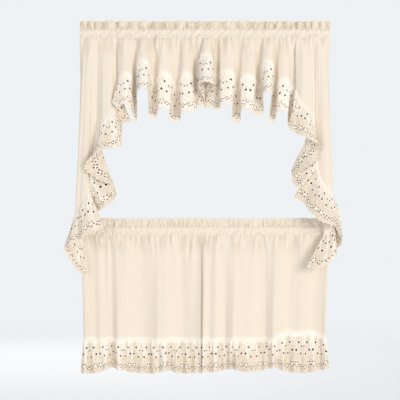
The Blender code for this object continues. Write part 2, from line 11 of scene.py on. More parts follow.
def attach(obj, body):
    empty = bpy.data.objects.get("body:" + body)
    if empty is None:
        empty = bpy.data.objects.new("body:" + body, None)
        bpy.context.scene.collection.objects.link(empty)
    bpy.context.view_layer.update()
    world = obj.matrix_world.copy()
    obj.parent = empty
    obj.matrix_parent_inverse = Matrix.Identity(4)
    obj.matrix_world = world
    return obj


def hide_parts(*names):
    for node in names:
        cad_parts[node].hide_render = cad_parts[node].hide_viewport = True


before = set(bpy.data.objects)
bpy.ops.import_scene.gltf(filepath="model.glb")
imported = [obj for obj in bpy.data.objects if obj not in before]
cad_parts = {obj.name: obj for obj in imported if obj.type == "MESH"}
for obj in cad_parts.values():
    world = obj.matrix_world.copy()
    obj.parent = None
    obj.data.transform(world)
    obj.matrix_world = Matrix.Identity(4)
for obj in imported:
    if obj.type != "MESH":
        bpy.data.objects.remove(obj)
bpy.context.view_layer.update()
scene = bpy.context.scene
bpy.ops.object.select_all(action="DESELECT")
print("frame loaded")


# soft curves and gathers
gatherShape = {
    # how far gathers stray from an even pitch, over how many of them, and the seed's share in it
    "strays": ((1.5, 3.3, 1.0), (1.1, 7.1, 2.3)),
    # their size: middle, swing, over how many gathers, and the seed's share
    "sizes": (0.68, 0.32, 4.7, 1.7),
    "hollow": 1.1,          # brings the waves to about -1 to 1
    "widening": 0.6,        # how much wider a single gather grows along its length
}
# each kind of gather is drawn with its curtain's own seed plus one of these
drawSeeds = {
    "lowerStitch": 10,
    "upperStitch": 20,
    "headerCrease": 30,
    "headerLumps": 40,
    "long": 50,
    "middling": 60,
    "ruffle": 70,
}


def slopesAt(knots, values):
    # never overshoots: level at each crest and hollow
    span = np.diff(knots)[:, None]
    rise = np.diff(values, axis=0) / span
    before, after = rise[:-1], rise[1:]
    nearAfter = 2 * span[1:] + span[:-1]
    nearBefore = span[1:] + 2 * span[:-1]
    turning = before * after <= 0
    shares = nearAfter / np.where(turning, 1, before) + nearBefore / np.where(turning, 1, after)
    inner = np.where(turning, 0, (nearAfter + nearBefore) / np.where(turning, 1, shares))
    return np.concatenate([rise[:1], inner, rise[-1:]])


def softCurve(knots, values, at):
    knots = np.asarray(knots, float)
    values = np.asarray(values, float)
    flat = values.ndim == 1
    if flat:
        values = values[:, None]
    slopes = slopesAt(knots, values)
    cell = np.clip(np.searchsorted(knots, at, side="right") - 1, 0, len(knots) - 2)
    span = (knots[cell + 1] - knots[cell])[:, None]
    t = (at - knots[cell])[:, None] / span
    result = (1 + 2 * t) * (1 - t) ** 2 * values[cell] + t * (1 - t) ** 2 * span * slopes[cell]
    result += t * t * (3 - 2 * t) * values[cell + 1] + t * t * (t - 1) * span * slopes[cell + 1]
    return result[:, 0] if flat else result


def gatherWave(along, pitch, seed):
    # uneven gathers: round crests, pinched hollows, from about -1 to 1
    turns = 2 * np.pi * along / pitch
    phase = turns
    for stray, over, seedShare in gatherShape["strays"]:
        phase = phase + stray * np.sin(turns / over + seedShare * seed)
    middle, swing, over, seedShare = gatherShape["sizes"]
    size = middle + swing * np.sin(turns / over + seedShare * seed)
    return (2 * np.abs(np.sin(phase / 2)) - gatherShape["hollow"]) * size


def softStep(x, start, end):
    # 0 before start and 1 past end, also where end is the smaller one
    t = np.clip((x - start) / (end - start), 0, 1)
    return t * t * (3 - 2 * t)


def gathers(along, away, look, seed, ends):
    # single folds that start at a row of stitches, each with its own width, length, depth and
    # slant; groups says how shallow they get between two bunches, and how far apart those are
    draw = np.random.default_rng(seed)
    push = np.zeros(np.broadcast(along, away).shape)
    grouped, pitch = look.get("groups", (0, 1))
    for start in np.arange(ends[0], ends[1], look["spacing"]):
        centre = start + draw.uniform(0, look["spacing"])
        width = draw.uniform(*look["width"])
        length = draw.uniform(*look["length"])
        depth = draw.uniform(*look["depth"])
        slant = draw.uniform(-look["slant"], look["slant"])
        depth *= 1 - grouped * (0.5 + 0.5 * math.sin(2 * math.pi * centre / pitch + seed))
        spread = width * (1 + gatherShape["widening"] * away / length)
        side = (along - centre - slant * away) / spread
        push += depth * np.exp(-side * side - (away / length) ** 2)
    return push


def lumps(across, down, look, seed):
    # soft uneven hollows and swells, as worn cotton has
    draw = np.random.default_rng(seed)
    push = 0
    for wave in range(look["waves"]):
        angle = draw.uniform(0, math.pi)
        turn = 2 * math.pi / draw.uniform(*look["size"])
        phase = draw.uniform(0, 2 * math.pi)
        push = push + np.sin(turn * (across * math.cos(angle) + down * math.sin(angle)) + phase)
    return push * look["depth"] / math.sqrt(look["waves"])


# the folds of the cloth, as in the solids; out and drop are from the upper rod's middle
clothFolds = {
    "foldEase": 0.55,       # folds open quickly under the pocket; 1 would be evenly
    "bulge": 5.0,           # how far a ruffle bows out halfway down
    "pocketFoot": 16.0,     # from the rod's middle down to the foot of its pocket
    "lowerOut": -62.0,
    "lowerDrop": 765.0,
    "tierDepth": 1.6,       # the tiers' soft folds are this many times as deep as in the solids
    "hemEase": 3.0,         # and the hem has one part in this many of it
    "shoulder": 0.7,        # a rounded fold's depth beside its crest
    "seamFall": 12.0,       # how much lower the seam and the hem lie there
    "hemFall": 13.0,
    "sideRoom": 0.3,        # free at each end of a piece on its rod
}
# row: top x | seam x, out, drop | hem x, out, drop
leftSwag = {
    "ends": (-484.0, -340.2),
    "rows": (
        (-484, -473, -36, 816, -458, -34, 955), (-480, -492, -28, 772, -499, -24, 915),
        (-476, -501, -18, 748, -520, -20, 888), (-472, -503, -8, 726, -538, -8, 851),
        (-468, -503, 4, 708, -546, 12, 832), (-464, -496, 8, 694, -515, 34, 818),
        (-459, -486, 8, 676, -492, 26, 803), (-454, -474, 12, 654, -470, 46, 788),
        (-449, -461, 12, 630, -437, 44, 770), (-445, -451, 10, 610, -391, 30, 743),
        (-441, -447, 4, 592, -424, -14, 692), (-437, -446, 6, 573, -402, 4, 681),
        (-433, -444, 6, 548, -375, 14, 666), (-429, -441, 4, 519, -344, 6, 623),
        (-427, -439, 3, 498, -354, -8, 592), (-425, -437, 2, 476, -414, 32, 565),
        (-421, -432, 0, 440, -468, 28, 519), (-416, -424, -4, 398, -462, 36, 505),
        (-409, -413, 2, 354, -441, 42, 480), (-392, -391, 18, 330, -402, 50, 457),
        (-378, -375, 18, 321, -360, 44, 445), (-365, -362, 12, 306, -322, 26, 433),
        (-358, -357, 6, 286, -321, 10, 392), (-352, -352, -2, 262, -322, -34, 350),
        (-347, -342, -9, 238, -286, -36, 335), (-341, -327, -17, 218, -300, -30, 322),
    ),
    # top x of the row | x, out, drop halfway down the ruffle
    "turns": (
        (-409, -408, 34, 415), (-416, -402, 22, 440), (-429, -368, -8, 584),
        (-427, -372, -12, 550), (-425, -376, -12, 519), (-421, -398, -6, 462),
    ),
}
rightSwag = {
    "ends": (350.6, 484.0),
    "rows": (
        (352, 352, 0, 209, 331, 10, 341), (357, 356, 4, 224, 320, 22, 360),
        (365, 364, 10, 248, 348, 34, 388), (379, 379, 16, 270, 379, 46, 400),
        (400, 402, 16, 294, 412, 48, 416), (418, 420, 2, 314, 445, 34, 438),
        (426, 428, 0, 345, 440, 10, 470), (430, 431, 4, 385, 414, 30, 503),
        (434, 433, 4, 425, 379, 28, 526), (438, 435, 4, 460, 344, 20, 540),
        (440, 437, 6, 488, 334, -4, 572), (442, 438, 8, 502, 358, 14, 600),
        (444, 440, 4, 515, 343, -4, 634), (446, 442, 6, 530, 378, 4, 654),
        (448, 446, 8, 550, 400, 24, 686), (452, 456, 12, 575, 441, 44, 724),
        (456, 472, 14, 594, 478, 46, 738), (460, 486, 8, 606, 497, 34, 745),
        (463, 495, 2, 628, 506, -4, 752), (466, 500, -2, 668, 530, 2, 808),
        (469, 500, -10, 692, 512, -14, 828), (472, 497, -18, 712, 488, -30, 812),
        (475, 492, -22, 726, 508, -10, 858), (478, 484, -24, 750, 476, -2, 890),
        (481, 474, -26, 765, 434, 2, 909), (484, 462, -28, 776, 392, -6, 904),
    ),
    "turns": (
        (418, 412, 30, 370), (426, 394, 8, 396), (430, 384, -4, 425), (434, 356, -8, 478),
        (438, 345, -2, 515), (463, 510, 16, 690), (466, 524, 6, 736), (469, 520, -10, 758),
        (472, 508, -20, 766), (475, 508, -6, 790), (478, 496, 0, 816),
    ),
}
# fold: seam x, half width, out, drop | hem x, half width, out, drop; a rounded fold has a half
# width, and a shoulder on each side of its crest
valance = {
    "ends": (-339.6, 350.0),
    "folds": (
        (-336, 0, 4, 180, -360, 0, 18, 267), (-306, 22, 16, 152, -314, 22, 34, 274),
        (-269, 5, -12, 212, -269, 5, -24, 346), (-240, 22, 24, 104, -240, 21, 65, 216),
        (-194, 7, -12, 192, -203, 17, -26, 330), (-155, 24, 16, 152, -159, 24, 34, 290),
        (-108, 8, -12, 210, -118, 24, -28, 344), (-70, 22, 16, 152, -66, 27, 34, 298),
        (-35, 5, -10, 160, -34, 6, -16, 290), (2.2, 0, -3, 150, 2.6, 0, -10, 286),
        (-3, 0, 3, 132, -1, 0, 4, 262), (4, 24, 26, 84, 4, 29, 75, 192),
        (8, 0, 3, 132, 6, 0, 4, 262), (2.4, 0, -8, 150, 1.5, 0, -19, 286),
        (47, 5, -10, 168, 50, 10, -18, 300), (86, 27, 16, 144, 80, 24, 34, 272),
        (126, 8, -12, 212, 122, 17, -28, 347), (166, 27, 16, 160, 161, 24, 34, 294),
        (209, 7, -12, 202, 206, 23, -24, 318), (242, 22, 24, 108, 240, 17, 65, 226),
        (272, 5, -12, 210, 261, 13, -24, 345), (305, 22, 16, 174, 297, 22, 34, 298),
        (332, 0, -12, 206, 321, 0, -26, 344), (359, 0, -15, 206, 350, 0, -26, 332),
    ),
}
# panel fold: x, out | seam level: x, drop | ruffle fold: seam x, hem x, out, hem drop; out is
# from the lower rod here
leftTier = {
    "ends": (-484.0, -15.4),
    "folds": (
        (-482, 0), (-464, 8), (-445, -6), (-410, 5), (-375, -8), (-333, 8), (-279, -3), (-248, -7),
        (-217, -3), (-170, 9), (-120, -4), (-89, -7), (-62, -3), (-35, 2), (-17, 8),
    ),
    "seam": ((-474, 1188), (-17, 1188)),
    "ruffle": (
        (-474, -486, 4, 1320), (-464, -466, 14, 1322), (-452, -452, -8, 1322),
        (-430, -430, 14, 1322), (-406, -406, -8, 1316), (-386, -386, 10, 1307),
        (-364, -364, -14, 1300), (-337, -337, 14, 1308), (-308, -308, -10, 1314),
        (-290, -290, 8, 1318), (-275, -275, -10, 1320), (-246, -246, 12, 1322),
        (-217, -217, -12, 1324), (-200, -200, 10, 1323), (-182, -182, -10, 1320),
        (-159, -159, 12, 1312), (-135, -135, -14, 1312), (-108, -108, 14, 1322),
        (-87, -87, -8, 1324), (-72, -72, 12, 1324), (-54, -54, -10, 1322),
        (-39, -39, 8, 1321), (-27, -27, -4, 1320), (-17, -15, 4, 1319),
    ),
}
rightTier = {
    "ends": (-14.8, 484.0),
    "folds": (
        (-24, -12.5), (-6, 3), (19, -4), (43, 2), (70, -7), (112, 9), (151, -6), (190, 1),
        (228, -8), (271, 9), (329, -6), (379, 0), (418, -4), (439, -9), (464, 7), (478, 2),
    ),
    "seam": (
        (-24, 1188), (271, 1188), (300, 1166), (330, 1161), (430, 1161), (455, 1174), (470, 1180),
    ),
    "ruffle": (
        (-24, -25, -9, 1319), (-6, -6, 8, 1320), (15, 15, -8, 1318), (39, 39, 12, 1318),
        (62, 62, -8, 1312), (75, 75, 6, 1309), (89, 89, -8, 1307), (99, 99, 6, 1306),
        (110, 110, -18, 1305), (124, 124, 10, 1311), (135, 135, -6, 1314), (174, 174, 14, 1318),
        (221, 221, -8, 1312), (234, 234, 6, 1309), (246, 246, -10, 1305), (267, 267, 8, 1301),
        (286, 286, -12, 1304), (306, 306, 12, 1312), (325, 325, -8, 1316), (350, 350, 14, 1320),
        (375, 375, -8, 1321), (387, 387, 8, 1322), (401, 401, -8, 1321), (422, 422, 12, 1317),
        (453, 453, -12, 1310), (468, 468, 10, 1307), (472, 486, 2, 1302),
    ),
}


def hangingCloth(top, seam, hem, turns=()):
    top, seam, hem = (np.array(line, float) for line in (top, seam, hem))
    turn = (seam + hem) / 2
    turn[:, 1] += clothFolds["bulge"]
    for topX, x, out, drop in turns:
        turn[int(np.argmin(abs(top[:, 0] - topX)))] = (x, out, drop)
    steps = [np.linalg.norm(np.diff(line, axis=0), axis=1) for line in (seam, hem)]
    knots = np.concatenate([[0.0], np.cumsum((steps[0] + steps[1]) / 2)])
    return {"top": top, "seam": seam, "turn": turn, "hem": hem, "knots": knots}


def swagCloth(swag):
    top = [(row[0], 0, clothFolds["pocketFoot"]) for row in swag["rows"]]
    seam = [row[1:4] for row in swag["rows"]]
    hem = [row[4:7] for row in swag["rows"]]
    return hangingCloth(top, seam, hem, swag["turns"])


def valanceTop(seam, held, ends):
    # each rounded fold hangs straight down, the cloth between is spread evenly
    seam = np.array(seam)
    steps = np.linalg.norm(np.diff(seam[:, :2], axis=0), axis=1)
    reach = np.concatenate([[0.0], np.cumsum(steps)])
    room = clothFolds["sideRoom"]
    heldX = [ends[0] + room] + [seam[row, 0] for row in held] + [ends[1] - room]
    spread = np.interp(reach, reach[[0] + held + [-1]], heldX)
    return [(x, 0, clothFolds["pocketFoot"]) for x in spread]


def valanceCloth(piece):
    seam, hem, held = [], [], []
    for seamX, seamHalf, seamOut, seamDrop, hemX, hemHalf, hemOut, hemDrop in piece["folds"]:
        if seamHalf:
            held.append(len(seam) + 1)
        for side in (-1, 0, 1) if seamHalf else (0,):
            depth = clothFolds["shoulder"] if side else 1.0
            fall = abs(side) * np.sign(seamOut)
            seamFall = fall * clothFolds["seamFall"]
            hemFall = fall * clothFolds["hemFall"]
            seam.append((seamX + side * seamHalf, seamOut * depth, seamDrop + seamFall))
            hem.append((hemX + side * hemHalf, hemOut * depth, hemDrop + hemFall))
    return hangingCloth(valanceTop(seam, held, piece["ends"]), seam, hem)


def tierCloth(tier):
    seamX = np.array([row[0] for row in tier["ruffle"]], float)
    folds = np.array(tier["folds"], float)
    depth = softCurve(folds[:, 0], folds[:, 1], seamX) * clothFolds["tierDepth"]
    levels = np.array(tier["seam"], float)
    rod = clothFolds["lowerOut"]
    ends = tier["ends"]
    room = clothFolds["sideRoom"]
    topX = np.interp(seamX, [seamX[0], seamX[-1]], [ends[0] + room, ends[1] - room])
    topDrop = clothFolds["lowerDrop"] + clothFolds["pocketFoot"]
    top = [(x, rod, topDrop) for x in topX]
    seam = list(zip(seamX, rod + depth, np.interp(seamX, levels[:, 0], levels[:, 1])))
    hemDepth = depth / clothFolds["hemEase"]
    hem = [(row[1], rod + d + row[2], row[3]) for row, d in zip(tier["ruffle"], hemDepth)]
    return hangingCloth(top, seam, hem)


def bodyPoints(cloth, u, t):
    # rows of the plain cloth from the pocket's foot, t = 0, to the seam, t = 1
    top = softCurve(cloth["knots"], cloth["top"], u)
    seam = softCurve(cloth["knots"], cloth["seam"], u)
    place = top + (seam - top) * t[:, None, None]
    place[:, :, 1] = top[:, 1] + (seam - top)[:, 1] * t[:, None] ** clothFolds["foldEase"]
    return place


def rufflePoints(cloth, u, t):
    # single points of the ruffle, from the seam, t = 0, to the hem, t = 1
    lines = (cloth[line] for line in ("seam", "turn", "hem"))
    seam, turn, hem = (softCurve(cloth["knots"], line, u) for line in lines)
    bow = 2 * turn - (seam + hem) / 2
    t = t[:, None]
    return (1 - t) ** 2 * seam + 2 * t * (1 - t) * bow + t * t * hem


def toMetres(points):
    return np.stack([points[..., 0], -points[..., 1], -points[..., 2]], axis=-1) / 1000


# mesh making
def makeSheet(name, points, faces, uv, masks=()):
    mesh = bpy.data.meshes.new(name)
    mesh.from_pydata(toMetres(points).tolist(), [], faces)
    mesh.shade_smooth()
    loops = np.empty(len(mesh.loops), int)
    mesh.loops.foreach_get("vertex_index", loops)
    layer = mesh.uv_layers.new(name="cloth")
    layer.data.foreach_set("uv", (uv[loops] / 1000).ravel())
    for title, values in masks:
        mask = mesh.attributes.new(title, "FLOAT", "POINT")
        mask.data.foreach_set("value", values.astype(np.float32))
    thing = bpy.data.objects.new(name, mesh)
    scene.collection.objects.link(thing)
    return thing


def pushOut(thing, amount):
    # moves each point along its own normal, in millimetres
    mesh = thing.data
    count = len(mesh.vertices)
    places = np.empty(count * 3)
    normals = np.empty(count * 3)
    mesh.vertices.foreach_get("co", places)
    mesh.vertex_normals.foreach_get("vector", normals)
    places = places.reshape(-1, 3) + normals.reshape(-1, 3) * amount[:, None] / 1000
    mesh.vertices.foreach_set("co", places.ravel())
    mesh.update()


sheetEdge = {"sharpAngle": 60.0}


def thicken(thing, thickness):
    solid = thing.modifiers.new("thickness", "SOLIDIFY")
    solid.thickness = thickness / 1000
    solid.offset = 0.0
    solid.use_even_offset = False
    bpy.ops.object.select_all(action="DESELECT")
    thing.select_set(True)
    bpy.context.view_layer.objects.active = thing
    bpy.ops.object.modifier_apply(modifier=solid.name)
    thing.data.set_sharp_from_angle(angle=math.radians(sheetEdge["sharpAngle"]))


def gridFaces(rows, columns):
    # wound so that the front faces the room
    first = np.arange(rows - 1)[:, None] * columns + np.arange(columns - 1)
    corners = [first, first + columns, first + columns + 1, first + 1]
    return np.stack(corners, axis=-1).reshape(-1, 4).tolist()


# plain cloth between the pocket and the seam
plainCloth = {
    "thickness": 0.6,
    "firstStep": 2.2,       # rows lie close together under the pocket and wider lower down
    "stepGrowth": 1.045,
    "widestStep": 9.0,
    "pocketLead": 5.0,      # the cloth leaves the pocket's front and falls back to the rod's middle
    "leadReach": 55.0,
    # short gathers right under the pocket, and the longer soft folds that they run into
    "short": {
        "spacing": 6.5, "width": (1.8, 4.2), "length": (8, 60), "depth": (0.6, 4.2),
        "slant": 0.22, "groups": (0.8, 67),
    },
    "middling": {
        "spacing": 17.0, "width": (3.5, 7.5), "length": (35, 120), "depth": (0.4, 5.6),
        "slant": 0.16, "groups": (0.6, 90),
    },
    "long": {
        "spacing": 15.0, "width": (5, 14), "length": (60, 330), "depth": (-2.6, 4.0),
        "slant": 0.06,
    },
    "lumps": {"waves": 7, "size": (35, 120), "depth": 0.5},
    "fullFrom": 45.0,       # the long folds and the lumps have their depth from here down
    "seamFade": 22.0,       # and lose it again this far above the seam
    "pocketHold": 25.0,     # down to here the gathers swell straight out, as the pocket's do
    "highlightFoot": 14.0,      # a painted highlight along the gathered seam from here down
    "creaseDepth": (-0.5, 3.5),
    "creaseShare": 0.74,    # how strong their painted shade is beside that of the headings
    "creaseReach": 90.0,    # the creases get painted shade down to here
}


def levelsTo(length):
    places = [0.0]
    step = plainCloth["firstStep"]
    while places[-1] < length:
        places.append(places[-1] + step)
        step = min(step * plainCloth["stepGrowth"], plainCloth["widestStep"])
    return np.array(places) / places[-1]


def gathersUnderPocket(along, below, seed, ends, crispness):
    short = gathers(along, below, plainCloth["short"], seed, ends)
    middling = gathers(along, below, plainCloth["middling"], seed + drawSeeds["middling"], ends)
    return short + middling * crispness


def makeBody(name, cloth, ends, kind, crispness, seed):
    # a grid laid on the cloth's folds, pushed out by its gathers
    c = plainCloth
    length = cloth["knots"][-1]
    u = np.linspace(0, length, int(length / kind["step"]) + 1)
    reach = np.median(cloth["seam"][:, 2] - cloth["top"][:, 2])
    points = bodyPoints(cloth, u, levelsTo(reach))
    topX = softCurve(cloth["knots"], cloth["top"][:, 0], u)
    topX = np.broadcast_to(topX, points.shape[:2])
    below = points[:, :, 2] - points[0, :, 2]
    above = points[-1, :, 2] - points[:, :, 2]
    points[:, :, 1] += c["pocketLead"] * np.exp(-(below / c["leadReach"]) ** 2)
    full = softStep(below, 0, c["fullFrom"])
    push = gathersUnderPocket(topX, below, seed, ends, crispness)
    long = gathers(topX, below, c["long"], seed + drawSeeds["long"], ends)
    push += long * kind["softness"] * full
    push += lumps(topX, below, c["lumps"], seed) * full
    push *= softStep(above, 0, c["seamFade"])
    rows, columns = push.shape
    uv = np.stack([np.broadcast_to(u, push.shape), below], axis=-1).reshape(-1, 2)
    # a painted highlight along the gathered seam
    white = softStep(above, c["highlightFoot"], 0) * kind["seamHighlight"]
    # painted shade in the creases under the pocket
    crease = (1 - softStep(push, *c["creaseDepth"])) * softStep(below, c["creaseReach"], 0)
    crease *= c["creaseShare"]
    masks = [("white", white.ravel()), ("crease", crease.ravel())]
    freed = softStep(below, 0, c["pocketHold"])
    points[:, :, 1] += push * (1 - freed)
    thing = makeSheet(name, points.reshape(-1, 3), gridFaces(rows, columns), uv, masks)
    pushOut(thing, (push * freed).ravel())
    thicken(thing, c["thickness"])
    print("plain cloth", name, rows, "x", columns)
    return thing


# headings: the ruffled header over the rod pocket, with heights from the rod's middle
heading = {
    "headerHeight": 53.0,
    "headerStitch": 17.4,   # the row of stitches between the pocket and the header
    "pocketDepth": 7.2,
    "pocketCorner": 4.0,    # how far from its two rows of stitches the pocket reaches its depth
    "footOut": 5.0,
    "stitchOut": 2.6,
    "levels": 17,
    # small puckers at both rows of stitches
    "pucker": {
        "spacing": 4.0, "width": (1.2, 2.8), "length": (5, 18), "depth": (-1.8, 3.4),
        "slant": 0.35,
    },
    "puckerRoom": 6.0,      # they start this far above the pocket's foot
    "footReach": 9.0,       # how far the gathers under the pocket run up over its stitches
    "lumps": {"waves": 9, "size": (13, 34), "depth": 1.1},
    "puffFront": 11.0,
    "puffBack": 5.0,
    "puffShare": 0.38,      # the height of a puff that stays level with the stitches
    "puffSize": (0.45, 1.0),
    "puffFull": 0.45,       # the puffs are full from here up, and close a little at the edge
    "puffClose": 0.25,
    "notchDip": 6.5,
    "lean": 3.0,
    "pinch": 0.1,           # puffs are wider than their foot by this share of their width
    "pinchWidest": 40.0,
    "endRoom": 12.0,        # no notch lies nearer to an end than this
    # folds up the header from its stitches
    "crease": {
        "spacing": 4.0, "width": (1.2, 3.0), "length": (9, 44), "depth": (-4.8, 3.0),
        "slant": 0.4,
    },
    "creaseStart": 3.0,
    # the header's creases get painted shade over this range of push
    "creaseDepth": (-3.2, 0.0),
    "notchStart": 8.0,      # notches get painted shade from here up
    "notchShade": (0.0, 0.8),
    "layer": 0.8,           # half of what lies between the header's two layers
    "columnStep": 2.2,
    "thickness": 0.5,
    "flatFullness": 1.4,    # the cloth is cut this many times as wide as it hangs
    "flatDrop": 150.0,
}
upperNotches = (
    -454, -428, -394, -294, -255, -209, -165, -116, -73, -37, 10, 70, 124, 180, 232, 267,
    302, 387, 410, 441,
)
lowerNotches = (
    -452, -419, -368, -325, -286, -252, -224, -186, -148, -105, -70, -50, 23, 54, 93, 128,
    170, 225, 252, 321, 352, 414, 452,
)
rods = {
    # where the rod is, how far its header puffs, and how deep the gathers under its pocket are
    "upper": {"out": 0.0, "drop": 0.0, "notches": upperNotches, "puffing": 1.0, "crispness": 1.5},
    "lower": {
        "out": clothFolds["lowerOut"], "drop": clothFolds["lowerDrop"],
        "notches": lowerNotches, "puffing": 0.5, "crispness": 1.0,
    },
}


def puffsAlong(x, ends, notches, seed):
    # where in its puff each place is, from 0 to 1, and that puff's width, size and lean
    room = heading["endRoom"]
    inner = [notch for notch in notches if ends[0] + room < notch < ends[1] - room]
    borders = np.array([ends[0]] + inner + [ends[1]])
    cell = np.clip(np.searchsorted(borders, x, side="right") - 1, 0, len(borders) - 2)
    width = borders[cell + 1] - borders[cell]
    p = (x - borders[cell]) / width
    draw = np.random.default_rng(seed)
    size = draw.uniform(*heading["puffSize"], len(borders))[cell]
    lean = draw.uniform(-1, 1, len(borders))
    sway = softCurve(borders, lean, x)
    return p, width, size, sway


def gatherHeading(front, puff, ends, rod, seed):
    # gathers on the front, and the painted shade in its creases and on its notches
    h = heading
    foot, stitch = -clothFolds["pocketFoot"], h["headerStitch"]
    height = front[:, 2]
    # the gathers under the pocket run on over its lower stitches
    fade = np.exp(-((height - foot) / h["footReach"]) ** 2)
    front[:, 1] += gathersUnderPocket(front[:, 0], 0, seed, ends, rod["crispness"]) * fade
    inside = softStep(height, foot, foot + h["puckerRoom"])
    above = np.maximum(height - stitch, 0)
    x = front[:, 0]
    push = gathers(x, height - foot, h["pucker"], seed + drawSeeds["lowerStitch"], ends) * inside
    off = np.abs(height - stitch)
    push += gathers(x, off, h["pucker"], seed + drawSeeds["upperStitch"], ends) * inside
    creases = gathers(x, above, h["crease"], seed + drawSeeds["headerCrease"], ends)
    push += creases * softStep(above, 0, h["creaseStart"])
    front[:, 1] += push
    # painted shade where the cloth sinks into a crease, and on the flanks of each puff by its
    # notches
    creaseShade = 1 - softStep(push, *h["creaseDepth"])
    flankShade = 1 - softStep(puff, *h["notchShade"])
    notch = softStep(above, 0, h["notchStart"]) * flankShade * rod["puffing"] ** 2
    front[:, 1] += lumps(x, height, h["lumps"], seed + drawSeeds["headerLumps"]) * inside
    return np.maximum(creaseShade * rod["puffing"], notch)


def makeHeading(name, ends, rod, seed):
    # one strip: up the front of the pocket and the header, over its edge and down the back
    h = heading
    puffing = rod["puffing"]
    x = np.linspace(ends[0], ends[1], int((ends[1] - ends[0]) / h["columnStep"]) + 1)
    p, width, size, sway = puffsAlong(x, ends, rod["notches"], seed)
    puff = np.sin(np.pi * p) * size
    foot, stitch = -clothFolds["pocketFoot"], h["headerStitch"]
    top = h["headerHeight"] - h["notchDip"] * (1 - puff) * puffing
    pinch = -h["pinch"] * np.sin(2 * np.pi * p) * np.minimum(width, h["pinchWidest"])
    levels = np.linspace(0, 1, h["levels"])

    def pocketRow(level, depth, atFoot, atStitch):
        corner = h["pocketCorner"]
        z = foot + level * (stitch - foot)
        rise = softStep(z, foot - corner, foot + corner)
        fall = softStep(z, stitch + corner, stitch - corner)
        edge = atFoot + (atStitch - atFoot) * level
        return x, edge + (depth - edge) * np.minimum(rise, fall) * np.ones_like(x), z + 0 * x

    def headerRow(level, layer):
        full = softStep(level, 0, h["puffFull"])
        full = full - h["puffClose"] * softStep(level, h["puffFull"], 1)
        swell = h["puffFront"] * (puff - h["puffShare"]) * full * puffing
        out = h["stitchOut"] * (1 - level) + swell + h["lean"] * sway * level + layer
        return x + pinch * full, out, stitch + level * (top - stitch)

    front = [pocketRow(level, h["pocketDepth"], h["footOut"], h["stitchOut"]) for level in levels]
    front += [headerRow(level, h["layer"]) for level in levels[1:]]
    front = np.array([np.stack(row) for row in front])
    shade = gatherHeading(front, puff, ends, rod, seed)
    back = []
    for level in levels[::-1]:
        back.append(headerRow(level, -h["layer"] - h["puffBack"] * math.sin(math.pi * level)))
    backFoot, backStitch = h["footOut"] - h["layer"], h["stitchOut"] - 2 * h["layer"]
    for level in levels[-2::-1]:
        back.append(pocketRow(level, -h["pocketDepth"], backFoot, backStitch))
    back = np.array([np.stack(row) for row in back])
    grid = np.concatenate([front, back]).transpose(0, 2, 1)
    across, out, height = (grid[..., k] for k in range(3))
    points = np.stack([across, out + rod["out"], rod["drop"] - height], axis=-1)
    steps = np.linalg.norm(np.diff(grid.mean(axis=1), axis=0), axis=1)
    down = np.concatenate([[0], np.cumsum(steps)])
    uv = np.stack(np.meshgrid(x, down), axis=-1).reshape(-1, 2)
    faces = [face[::-1] for face in gridFaces(*grid.shape[:2])]
    # the front's painted shade in its creases and notches
    crease = np.concatenate([shade, np.zeros((len(grid) - len(shade), len(x)))]).ravel()
    thing = makeSheet(name, points.reshape(-1, 3), faces, uv, [("crease", crease)])
    thicken(thing, h["thickness"])
    print("heading", name, grid.shape[:2])
    return thing


# the eyelet ruffle: one repeat cut flat, then laid side by side along the cloth
repeat = {
    "width": 41.0,
    "depth": 134.0,
    "scallops": 3,
    "scallopDepth": 5.0,
    "gridStep": 3.4,
    "hemStep": 1.7,
    "joinWithin": 1e-4,
    "holeShare": 0.97,      # a hole takes the triangles whose middle lies within this much of it
    "hemRoom": 1.5,         # no grid point lies nearer to the hem or to a rim than these
    "rimRoom": 1.3,
    "sides": (6, 8),        # of a small hole and of a large one
    # x, place down the ruffle, radius of the hole, radius of its stitched rim
    "eyelets": (
        (20.0, 0.235, 0.5, 4.4), (8.5, 0.42, 0.5, 4.8), (29.0, 0.51, 0.5, 4.2),
        (35.5, 0.33, 0.4, 3.1),
    ),
    # middle of each flower of small holes, and how many there are, how far out and how turned
    "flowers": ((10.8, 0.765), (31.4, 0.83)),
    "petals": (5, 4),
    "petalReach": (8.4, 5.8),
    "petalTurn": (0.25, 0.9),
    "petalHole": 0.35,
    "petalRim": 2.7,
    "rimShade": 0.86,       # the share of the rim's radius that has painted shade
    "bigRim": 2.8,          # eyelets with a wider rim than this are large
    "cordWidth": 1.1,       # the raised cord of stitches round each large one
}
ruffleGathers = {
    # folds from the gathered seam down, and the looser ones that the hem falls into
    "seam": {
        "spacing": 7.5, "width": (2.2, 4.6), "length": (22, 105), "depth": (0.5, 3.6),
        "slant": 0.05,
    },
    "seamHold": 0.06,
    "hemPitch": 19.0,
    "hemDepth": 1.3,
    "topRoll": 0.8,         # the ruffle rolls out right under its seam
    "rollPlace": 0.05,
    "rollWidth": 0.045,
    "rimHeight": 0.4,       # raised stitches round each eyelet and along the hem
    "rimPlace": 0.6,
    "hemPlace": 0.5,
    "hemWidth": 0.9,
    "rimInside": 0.3,       # an eyelet has painted shade from here inwards
    "cordWhite": (1.0, 0.5),
    "flowerWhite": (5.6, 3.0),
    "stitchWidth": 2.2,
    "plainTop": (0.07, 0.13),    # the plain part under the seam ends here
    "highlightTop": (0.22, 0.04),    # a painted highlight lies right under the seam, strongest where the cloth swells out
    "highlightSwell": (-6.0, 7.0),
    "crestSwell": (6.0, 22.0),   # deep flutes get a painted highlight all the way down their crests
    "crestHighlight": 0.75,
    "hollowWindow": 70.0,        # the cloth's mean line is taken over this much on each side
    "hollowPlace": 0.7,          # and this far down the ruffle
    # painted shade by how far the cloth hangs behind its mean line, and between two gathers
    "hollowShadeDepth": (-0.5, 9.0),
    "gatherShadeDepth": (0.2, 2.0),
    "thickness": 0.5,
}


